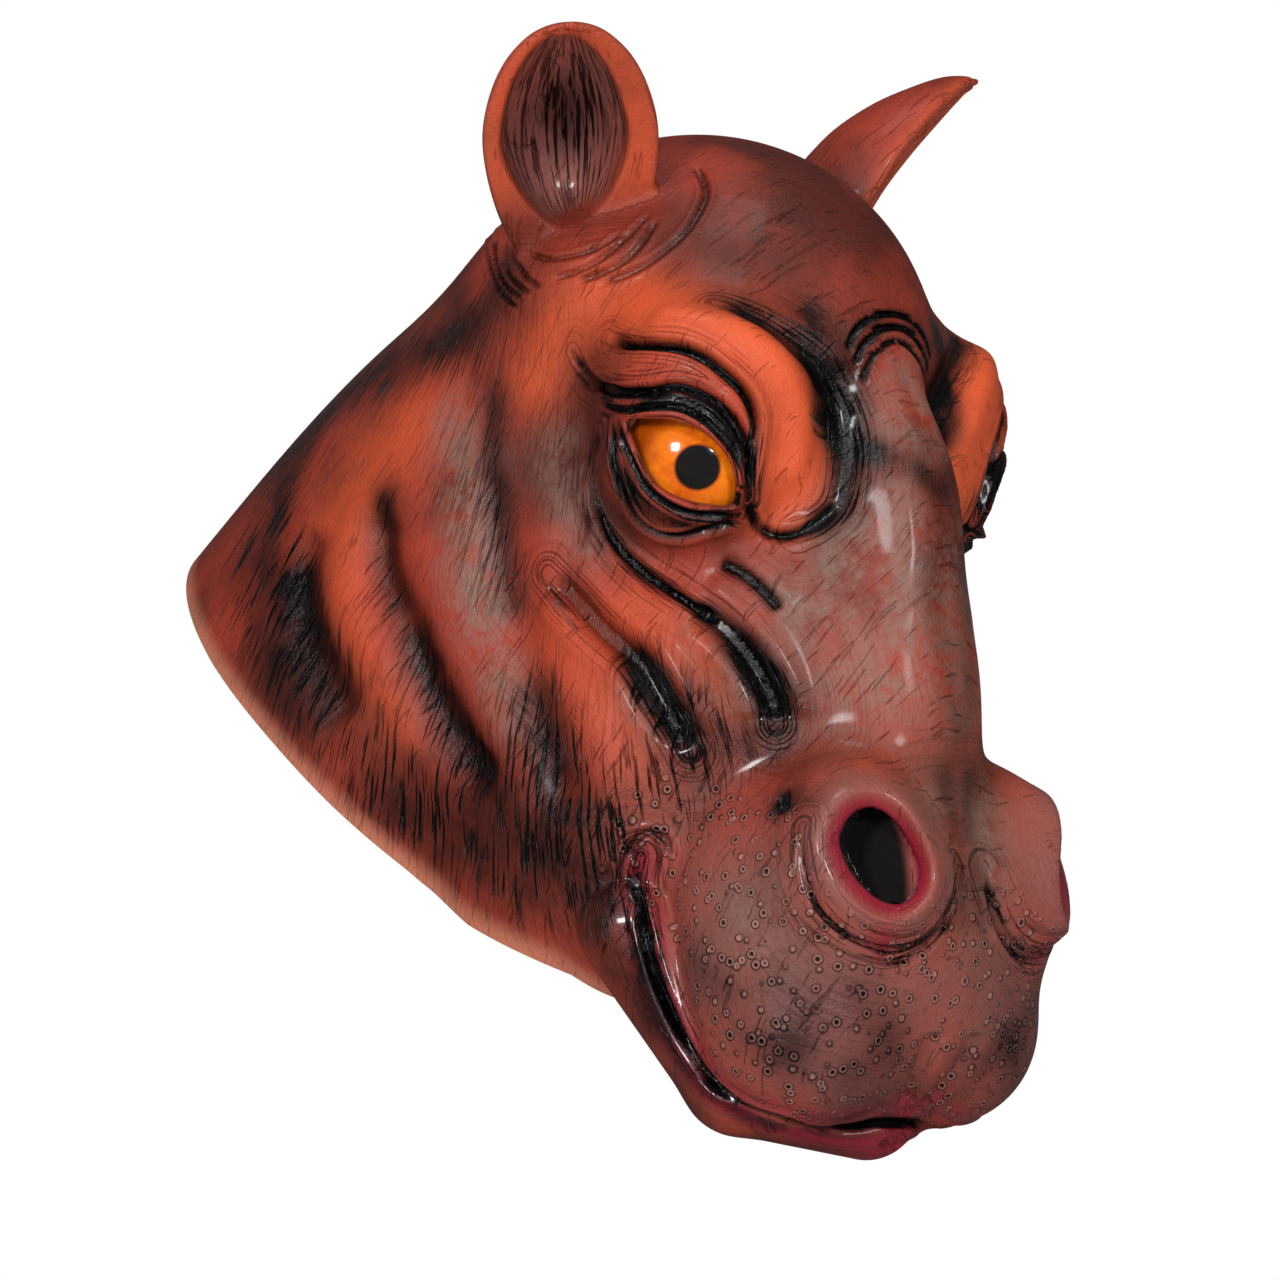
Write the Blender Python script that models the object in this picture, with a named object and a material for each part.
"""Full-head hippo mask of soft latex: a hollow head shell with nostril holes, eye
openings and a mouth slit, two cup ears, and two domed eyes with set-in pupils.

The head is one rounded form: egg shapes, tubes and balls melted together by a
smooth minimum of their distances.  Its skin is then cut into facets, hollowed
and pierced.  Millimetres are used for the sizes, metres for the finished meshes.
The origin is where the inside of the crown rests; the mask looks along -Y.
"""
import bpy
import bmesh
import numpy as np
from mathutils import Matrix, Vector

MM = 0.001

# walls and clearances, mm
WALL = 3.0
SEAT_GAP = 0.3
EAR_SEAT_GAP = 0.4
CAVITY_BLEND = 0.6        # the cavity's creases are sharper, so walls thicken there

# facet sizes, mm, and share of the triangles kept
SKIN_STEP, SKIN_KEEP = 8.0, 0.31
CAVITY_STEP, CAVITY_KEEP = 10.0, 0.27
BOX_LOW, BOX_HIGH = (-132.0, -220.0, -450.0), (132.0, 300.0, 40.0)
SKIN_OVERRUN, CAVITY_OVERRUN = 10.0, 26.0    # how far each runs on below the hem

# head form: name, centre, radii, powers, tilt about X, blend
FORMS = (
    ("braincase", (0, -27, -98), (87, 114, 101), (2, 2, 2), 0, 0),
    ("neck", (0, 115, -256), (104, 280, 148), (2.2, 3, 2.2), -39, 30),
    ("cheek", (56, -30, -265), (44, 62, 92), (2, 2, 2), 0, 34),
    ("flank", (32, -70, -225), (46, 64, 95), (2, 2, 2), 0, 34),
    ("bridge", (0, -104, -175), (36, 61, 74), (2.2, 2.2, 2.2), 0, 30),
    ("snout", (0, -104, -245), (45, 69, 85), (2.2, 2.2, 2.2), 0, 26),
    ("muzzle", (0, -119, -332), (86, 59, 77), (2.2, 2.2, 2.2), 0, 26),
    ("gullet", (0, 0, -318), (92, 82, 62), (2, 2, 2), 0, 24),
    ("throat", (0, -66, -362), (58, 56, 42), (2, 2, 2), 0, 8),
    ("brow", (64, -91, -117), (42, 42, 42), (2, 2, 2), 0, 30),
    ("eye_bulge", (66, -88, -142), (38, 38, 38), (2, 2, 2), 0, 14),
    ("ear_root", (67, -27, -62), (20, 24, 20), (2, 2, 2), 0, 34),
    ("nostril", (49, -154, -306), (30, 24, 40), (2, 2, 2), 0, 36),
)
# lower jaw, a V of round bars: x, y, z, radius
JAW = ((0, -123, -401, 22), (46, -97, -388, 25), (75, -62, -330, 21))
JAW_BLEND = 9.0

# skin folds: width, depth, then (x, y, z) points the fold runs through
FOLDS = (
    (9, 6, ((-96, -72, -165), (-84, -92, -190), (-76, -112, -225), (-66, -120, -262))),
    (9, 6, ((-104, -50, -178), (-96, -68, -210), (-86, -88, -248))),
    (10, 6, ((-110, -12, -180), (-108, -16, -215), (-104, -30, -255), (-98, -42, -285))),
    (11, 6, ((-106, 60, -158), (-108, 38, -198), (-108, 20, -240), (-106, 4, -275))),
    (10, 5, ((-98, 104, -165), (-104, 96, -195), (-106, 76, -232))),
)

# hem: height of the cut over y
HEM = ((-130, -500), (-92, -440), (-75, -402), (-60, -374), (-33, -348), (13, -327), (41, -309),
       (80, -277), (119, -244), (155, -214), (195, -179), (280, -104))

# nostril hole
NOSTRIL_AT = (56, -184, -302)
NOSTRIL_YAW = 44.0
NOSTRIL_RADII = (17.0, 22.0)
NOSTRIL_DEPTH = 60.0

# mouth slit
MOUTH_AT = (0, -150, -405)
MOUTH_RADII = (34.0, 40.0, 4.0)

# eyes: each looks out from its centre, and its dome lies just under the skin
EYE_CENTRE = (64, -87, -141)
EYE_YAW, EYE_PITCH = 51.0, -8.0
EYE_OPENING = (20.0, 17.0)
EYE_SUNK = 5.2
DOME_RADIUS = 36.0
DOME_WALL = 3.4
DOME_HALF_WIDTH = 21.5
PUPIL_RADIUS = 8.4
PUPIL_DEPTH = 2.2
EYE_CUT_TOP, EYE_CUT_DEPTH = 60.0, 44.0
EYE_SEAT_WALL = 15.4
PUPIL_CUT = 8.0

# ears: root, tip, thickness, and rows of share of the length, width, depth, hook
EAR_ROOT = {"right": (75, -32, -48), "left": (77, -40, -46)}
EAR_TIP = {"right": (124, -72, 33), "left": (122, -77, 37)}
EAR_FACING = 45.0
EAR_WALL = 3.0
EAR_ROWS = (
    (-0.2, 42, 34, -2), (-0.04, 50, 38, 0), (0.12, 62, 38, 0), (0.3, 70, 35, -1), (0.48, 72, 31, -2),
    (0.66, 65, 25, -1), (0.81, 53, 18, 1), (0.92, 37, 12, 3), (0.98, 23, 7, 5), (1.0, 11, 4, 6),
)
EAR_FLOOR, EAR_FLOOR_WIDTH = 0.10, 0.72
EAR_HOLLOW_TOP = 0.965
EAR_ARC_STEPS = 12


def smooth_min(a, b, blend):
    """The lesser of two distances, rounded over where they are nearly equal."""
    near = np.maximum(blend - np.abs(a - b), 0.0) / max(blend, 1e-6)
    return np.minimum(a, b) - near ** 3 * blend / 6.0


def blob_distance(points, centre, radii, powers, tilt):
    """About the distance to a superellipsoid: length times (1 - 1 / scaled length)."""
    local = points - np.array(centre, float)
    if tilt:
        cos, sin = np.cos(np.radians(-tilt)), np.sin(np.radians(-tilt))
        x, y, z = local[..., 0], local[..., 1], local[..., 2]
        local = np.stack([x, y * cos - z * sin, y * sin + z * cos], -1)
    scaled = sum((np.abs(local[..., i]) / radii[i]) ** powers[i] for i in range(3))
    scaled = np.maximum(scaled, 1e-6) ** (1.0 / max(powers))
    return np.linalg.norm(local, axis=-1) * (1.0 - 1.0 / scaled)


def bar_distance(points, start, end):
    """Distance to a round bar whose radius runs evenly from one end to the other."""
    a, b = np.array(start[:3], float), np.array(end[:3], float)
    along = np.clip((points - a) @ (b - a) / ((b - a) @ (b - a)), 0.0, 1.0)
    radius = start[3] + (end[3] - start[3]) * along
    return np.linalg.norm(points - a - along[..., None] * (b - a), axis=-1) - radius


def path_distance(points, path):
    """Distance to the nearest segment of a line through the path's points."""
    bars = [bar_distance(points, (*a, 0.0), (*b, 0.0)) for a, b in zip(path, path[1:])]
    return np.minimum.reduce(bars)


def mirrored(points):
    """The same points with x made positive, so both sides are alike."""
    return np.stack([np.abs(points[..., 0]), points[..., 1], points[..., 2]], -1)


def head_distance(points, blend_share=1.0):
    """About the distance to the head form without folds."""
    side = mirrored(points)
    total = None
    for _, centre, radii, powers, tilt, blend in FORMS:
        part = blob_distance(side, centre, radii, powers, tilt)
        total = part if total is None else smooth_min(total, part, blend * blend_share)
    for start, end in zip(JAW, JAW[1:]):
        total = smooth_min(total, bar_distance(side, start, end), JAW_BLEND * blend_share)
    return total


def folded(total, points):
    """A distance raised where the folds press the skin in."""
    side = mirrored(points)
    for width, depth, path in FOLDS:
        right = [(abs(x), y, z) for x, y, z in path]
        total = total + depth * np.exp(-(path_distance(side, right) / width) ** 2)
    return total


def reach_skin(start, out):
    """The point where a ray from inside the head leaves the plain head form."""
    near, far = 0.0, 200.0
    for _ in range(40):
        middle = 0.5 * (near + far)
        if head_distance(start + out * middle) < 0:
            near = middle
        else:
            far = middle
    return start + out * near


def below_hem(points):
    """About the distance under the hem profile."""
    ys, zs = np.array(HEM, float).T
    return 0.8 * (np.interp(points[..., 1], ys, zs) - points[..., 2])


def skin_distance(points):
    """The folded head form, ended a little under the hem."""
    return np.maximum(folded(head_distance(points), points), below_hem(points) - SKIN_OVERRUN)


def cavity_distance(points):
    """The inside: the same form shrunk by the wall and run on through the hem."""
    return np.maximum(folded(head_distance(points, CAVITY_BLEND) + WALL, points),
                      below_hem(points) - CAVITY_OVERRUN)


def gradient(field, points, step=0.5):
    """Slope of a field by central differences."""
    rises = [field(points + step * axis) - field(points - step * axis) for axis in np.eye(3)]
    return np.stack(rises, -1) / (2 * step)


def facet_net(field, step, rounds=2):
    """Closed quads round the inside of a field: one vertex in each cell that its
    surface passes, joined across every grid edge whose ends differ in sign."""
    low, high = np.array(BOX_LOW), np.array(BOX_HIGH)
    count = np.ceil((high - low) / step).astype(int) + 1
    axes = [low[i] + step * np.arange(count[i]) for i in range(3)]
    axes[0] = (np.arange(count[0]) - (count[0] - 1) / 2) * step
    values = field(np.stack(np.meshgrid(*axes, indexing="ij"), -1))
    inside = values < 0
    corners = [(i, j, k) for i in (0, 1) for j in (0, 1) for k in (0, 1)]
    filled = sum(inside[i:count[0] - 1 + i, j:count[1] - 1 + j, k:count[2] - 1 + k].astype(int)
                 for i, j, k in corners)
    active = (filled > 0) & (filled < 8)
    cells = np.argwhere(active)
    number = -np.ones(active.shape, int)
    number[active] = np.arange(len(cells))
    total, hits = np.zeros((len(cells), 3)), np.zeros(len(cells))
    for corner in corners:
        for axis in range(3):
            if corner[axis]:
                continue
            other = np.array(corner)
            other[axis] = 1
            start, end = values[tuple((cells + corner).T)], values[tuple((cells + other).T)]
            crossed = (start < 0) != (end < 0)
            place = cells[crossed] + np.array(corner, float)
            place[:, axis] += start[crossed] / (start[crossed] - end[crossed])
            total[crossed] += place
            hits[crossed] += 1
    origin = np.array([axis[0] for axis in axes])
    vertices = origin + step * total / hits[:, None]
    faces = []
    for axis in range(3):
        first, second = (axis + 1) % 3, (axis + 2) % 3
        near, far = [slice(1, -1)] * 3, [slice(1, -1)] * 3
        near[axis], far[axis] = slice(0, -1), slice(1, None)
        here, there = inside[tuple(near)], inside[tuple(far)]
        for leaving in (True, False):
            base = np.argwhere((here & ~there) if leaving else (~here & there)) + 1
            base[:, axis] -= 1
            ring = []
            for back in ((1, 1), (0, 1), (0, 0), (1, 0)):
                cell = base.copy()
                cell[:, first] -= back[0]
                cell[:, second] -= back[1]
                ring.append(number[tuple(cell.T)])
            faces.append(np.stack(ring if leaving else ring[::-1], -1))
    faces = np.concatenate(faces)
    for _ in range(rounds):
        total, hits = np.zeros_like(vertices), np.zeros(len(vertices))
        for a, b in ((0, 1), (1, 2), (2, 3), (3, 0), (1, 0), (2, 1), (3, 2), (0, 3)):
            np.add.at(total, faces[:, a], vertices[faces[:, b]])
            np.add.at(hits, faces[:, a], 1)
        vertices = 0.5 * (vertices + total / hits[:, None])
        for _ in range(3):
            slope = gradient(field, vertices)
            move = field(vertices) / np.maximum((slope ** 2).sum(-1), 0.05)
            vertices = vertices - np.clip(move, -4.0, 4.0)[:, None] * slope
    return vertices, faces


def clear_scene():
    """Start from an empty file."""
    for item in list(bpy.data.objects):
        bpy.data.objects.remove(item, do_unlink=True)
    for item in list(bpy.data.collections):
        bpy.data.collections.remove(item)


def make_collection(name, hidden=False):
    """A collection linked to the scene."""
    collection = bpy.data.collections.new(name)
    bpy.context.scene.collection.children.link(collection)
    collection.hide_render = hidden
    return collection


def add_object(name, vertices, faces, collection):
    """An object from vertices in mm and faces."""
    mesh = bpy.data.meshes.new(name)
    mesh.from_pydata([tuple(v) for v in np.asarray(vertices, float) * MM], [],
                     [tuple(int(i) for i in face) for face in faces])
    mesh.update()
    item = bpy.data.objects.new(name, mesh)
    collection.objects.link(item)
    return item


def tidy_mesh(item):
    """Outward normals on a closed mesh, all faces cut into triangles."""
    work = bmesh.new()
    work.from_mesh(item.data)
    bmesh.ops.remove_doubles(work, verts=work.verts, dist=1e-6)
    bmesh.ops.recalc_face_normals(work, faces=work.faces)
    bmesh.ops.triangulate(work, faces=work.faces)
    work.to_mesh(item.data)
    work.free()


def apply_modifiers(item):
    """Keep an object's modified shape as its mesh."""
    shaped = item.evaluated_get(bpy.context.evaluated_depsgraph_get())
    mesh = bpy.data.meshes.new_from_object(shaped)
    item.modifiers.clear()
    item.data = mesh


def thin_out(item, share):
    """Merge facets where the surface is flattest, down to a share of them."""
    change = item.modifiers.new("thin", "DECIMATE")
    change.ratio = share
    change.use_symmetry = True
    change.symmetry_axis = "X"
    apply_modifiers(item)
    tidy_mesh(item)


def cut(item, cutter):
    """Live exact Boolean of an object with a cutter."""
    change = item.modifiers.new(cutter.name, "BOOLEAN")
    change.operation = "DIFFERENCE"
    change.object = cutter
    change.solver = "EXACT"


def as_cutter(item):
    """Show a cutter as wires only."""
    item.hide_render = True
    item.display_type = "WIRE"
    return item


def facing(yaw, pitch, side):
    """Unit axis turned out from the front by yaw and up by pitch, on one side."""
    turn, rise = np.radians(yaw), np.radians(pitch)
    return np.array([side * np.sin(turn) * np.cos(rise), -np.cos(turn) * np.cos(rise), np.sin(rise)])


def frame_matrix(centre, out):
    """Local x sideways, y up the face, z along the outward axis."""
    out = Vector(out).normalized()
    across = Vector((0, 0, 1)).cross(out).normalized()
    up = out.cross(across)
    matrix = Matrix((across, up, out)).transposed().to_4x4()
    matrix.translation = Vector([c * MM for c in centre])
    return matrix


def place(item, matrix):
    """Bake a placement into the mesh."""
    item.data.transform(matrix)
    item.data.update()
    return item


def lathe(name, profile, steps, collection):
    """Turn a closed (radius, height) profile in mm about local z."""
    vertices, faces, rings = [], [], []
    for radius, height in profile:
        if radius < 1e-6:
            rings.append([len(vertices)] * steps)
            vertices.append((0.0, 0.0, height))
        else:
            rings.append(list(range(len(vertices), len(vertices) + steps)))
            angles = 2 * np.pi * np.arange(steps) / steps
            vertices += [(radius * np.cos(a), radius * np.sin(a), height) for a in angles]
    for low, high in zip(rings, rings[1:] + rings[:1]):
        for i in range(steps):
            j = (i + 1) % steps
            ring = [low[i], low[j], high[j], high[i]]
            ring = [v for k, v in enumerate(ring) if v != ring[k - 1]]
            if len(ring) > 2:
                faces.append(ring)
    item = add_object(name, vertices, faces, collection)
    tidy_mesh(item)
    return item


def dome_profile(radius, wall, half_width, steps):
    """Half section of a thin dome: outer arc from the rim to the top, inner arc back."""
    rim = np.arcsin(half_width / radius)
    inner_radius = radius - wall
    rim_inside = np.arcsin(min(half_width / inner_radius, 0.99) * (1 - wall / half_width))
    outer = [(radius * np.sin(a), radius * np.cos(a)) for a in np.linspace(rim, 0, steps)]
    inner = [(inner_radius * np.sin(a), inner_radius * np.cos(a)) for a in np.linspace(0, rim_inside, steps)]
    return outer + inner


def elliptic_plug(name, radii, depth, front, matrix, collection, steps=28):
    """A straight elliptic bar along local z, from front down to front - depth."""
    profile = [(0.0, front), (1.0, front), (1.0, front - depth), (0.0, front - depth)]
    item = lathe(name, profile, steps, collection)
    item.data.transform(Matrix.Diagonal((radii[0], radii[1], 1.0, 1.0)))
    return as_cutter(place(item, matrix))


def ear_sections(root, tip, grow, floor, lift, side):
    """D-shaped rings up the ear: the round back plus the flat open front."""
    root, tip = np.array(root, float), np.array(tip, float)
    root[0] *= side
    tip[0] *= side
    axis = tip - root
    length = np.linalg.norm(axis)
    axis /= length
    front = facing(EAR_FACING, 0.0, side)
    front -= (front @ axis) * axis
    front /= np.linalg.norm(front)
    across = np.cross(axis, front)
    rows = np.array(EAR_ROWS, float)
    levels = rows[:, 0]
    if floor is not None:
        between = (levels > floor + 0.05) & (levels < EAR_HOLLOW_TOP - 0.02)
        levels = np.concatenate([[floor], levels[between], [EAR_HOLLOW_TOP]])
    rings = []
    for level in levels:
        width, depth, hook = (np.interp(level, rows[:, 0], rows[:, i]) for i in (1, 2, 3))
        half = max(width / 2 + grow, 0.8)
        deep = max(depth + grow, 0.8)
        if level == floor:
            half, deep = half * EAR_FLOOR_WIDTH, deep * EAR_FLOOR_WIDTH
        centre = root + axis * level * length + front * hook
        turn = np.linspace(-np.pi / 2, np.pi / 2, EAR_ARC_STEPS)
        ring = [centre + across * half * np.sin(a) - front * deep * np.cos(a) for a in turn]
        if lift:
            ring += [centre + across * half + front * lift, centre - across * half + front * lift]
        rings.append(ring)
    return rings


def loft(name, rings, collection):
    """Closed skin over rings of equal count, with flat ends."""
    count = len(rings[0])
    vertices = [p for ring in rings for p in ring]
    faces = []
    for r in range(len(rings) - 1):
        for i in range(count):
            j = (i + 1) % count
            faces.append((r * count + i, r * count + j, (r + 1) * count + j, (r + 1) * count + i))
    faces.append(tuple(range(count))[::-1])
    faces.append(tuple(range((len(rings) - 1) * count, len(rings) * count)))
    item = add_object(name, vertices, faces, collection)
    tidy_mesh(item)
    return item


def material(name, colour, roughness):
    """A plain Principled material."""
    made = bpy.data.materials.new(name)
    made.use_nodes = True
    shader = made.node_tree.nodes["Principled BSDF"]
    shader.inputs["Base Color"].default_value = (*colour, 1.0)
    shader.inputs["Roughness"].default_value = roughness
    return made


def below_hem_block(collection):
    """The block under the hem profile, wide enough to cut right across."""
    reach, floor = 150.0, -620.0        # past the sides, and below the lowest point
    ys = [p[0] for p in HEM]
    outline = [(y, z) for y, z in HEM] + [(ys[-1], floor), (ys[0], floor)]
    rings = [[(x, y, z) for y, z in outline] for x in (-reach, reach)]
    return as_cutter(loft("hem_cutter", rings, collection))


def build():
    """Make every piece of the mask."""
    clear_scene()
    parts = make_collection("hippo_mask")
    cutters = make_collection("cutters", hidden=True)
    latex = material("skin_latex", (0.30, 0.07, 0.04), 0.4)
    ear_latex = material("ear_latex", (0.42, 0.10, 0.04), 0.4)
    amber = material("eye_amber", (0.80, 0.20, 0.02), 0.08)
    black = material("pupil_black", (0.01, 0.01, 0.01), 0.06)

    skin = add_object("mask_skin", *facet_net(skin_distance, SKIN_STEP), parts)
    tidy_mesh(skin)
    thin_out(skin, SKIN_KEEP)
    skin.data.materials.append(latex)
    cavity = add_object("cavity_cutter", *facet_net(cavity_distance, CAVITY_STEP), cutters)
    tidy_mesh(cavity)
    thin_out(cavity, CAVITY_KEEP)
    as_cutter(cavity)

    grown = add_object("head_grown", [tuple(v.co / MM) for v in skin.data.vertices],
                       [tuple(f.vertices) for f in skin.data.polygons], cutters)
    offsets = np.array([v.normal for v in skin.data.vertices]) * EAR_SEAT_GAP * MM
    for vertex, offset in zip(grown.data.vertices, offsets):
        vertex.co += Vector(offset)
    as_cutter(grown)

    hem = below_hem_block(cutters)
    cut(skin, hem)
    cut(skin, cavity)
    half_turn = np.linspace(np.pi / 2, -np.pi / 2, 7)
    mouth = lathe("mouth_cutter", [(max(np.cos(a), 0.0), np.sin(a)) for a in half_turn], 24, cutters)
    mouth.data.transform(Matrix.Diagonal((*MOUTH_RADII, 1.0)))
    place(mouth, Matrix.Translation(Vector([c * MM for c in MOUTH_AT])))
    cut(skin, as_cutter(mouth))

    for side, word in ((-1, "right"), (1, "left")):
        nostril_out = facing(NOSTRIL_YAW, 0.0, side)
        centre = (side * NOSTRIL_AT[0], NOSTRIL_AT[1], NOSTRIL_AT[2])
        cut(skin, elliptic_plug(f"nostril_cutter_{word}", NOSTRIL_RADII, NOSTRIL_DEPTH, NOSTRIL_DEPTH / 2,
                                frame_matrix(centre, nostril_out), cutters))

        eye_out = facing(EYE_YAW, EYE_PITCH, side)
        front = reach_skin(np.array([side * EYE_CENTRE[0], *EYE_CENTRE[1:]], float), eye_out)
        dome_frame = frame_matrix(front - eye_out * (EYE_SUNK + DOME_RADIUS), eye_out)
        cut(skin, elliptic_plug(f"eye_cutter_{word}", EYE_OPENING, EYE_CUT_DEPTH, EYE_CUT_TOP,
                                dome_frame, cutters))
        seat = lathe(f"eye_seat_{word}", dome_profile(DOME_RADIUS + SEAT_GAP, EYE_SEAT_WALL,
                                                      DOME_HALF_WIDTH + 1.0, 9), 36, cutters)
        cut(skin, as_cutter(place(seat, dome_frame)))
        eye = place(lathe(f"eye_{word}", dome_profile(DOME_RADIUS, DOME_WALL, DOME_HALF_WIDTH, 6), 24, parts),
                    dome_frame)
        eye.data.materials.append(amber)
        pocket = elliptic_plug(f"pupil_seat_{word}", (PUPIL_RADIUS + SEAT_GAP,) * 2, PUPIL_CUT,
                               DOME_RADIUS + PUPIL_CUT - PUPIL_DEPTH, dome_frame, cutters)
        cut(eye, pocket)
        rim = np.arcsin(PUPIL_RADIUS / DOME_RADIUS)
        back = DOME_RADIUS - PUPIL_DEPTH + SEAT_GAP
        curve = [(DOME_RADIUS * np.sin(a), DOME_RADIUS * np.cos(a)) for a in np.linspace(rim, 0, 4)]
        pupil = lathe(f"pupil_{word}", [(0.0, back), (PUPIL_RADIUS, back)] + curve, 24, parts)
        place(pupil, dome_frame)
        pupil.data.materials.append(black)

        solid = ear_sections(EAR_ROOT[word], EAR_TIP[word], 0.0, None, 0.0, side)
        hollow = ear_sections(EAR_ROOT[word], EAR_TIP[word], -EAR_WALL, EAR_FLOOR, 12.0, side)
        ear = loft(f"ear_{word}", solid, parts)
        ear.data.materials.append(ear_latex)
        cut(ear, grown)
        cut(ear, as_cutter(loft(f"ear_hollow_{word}", hollow, cutters)))


build()
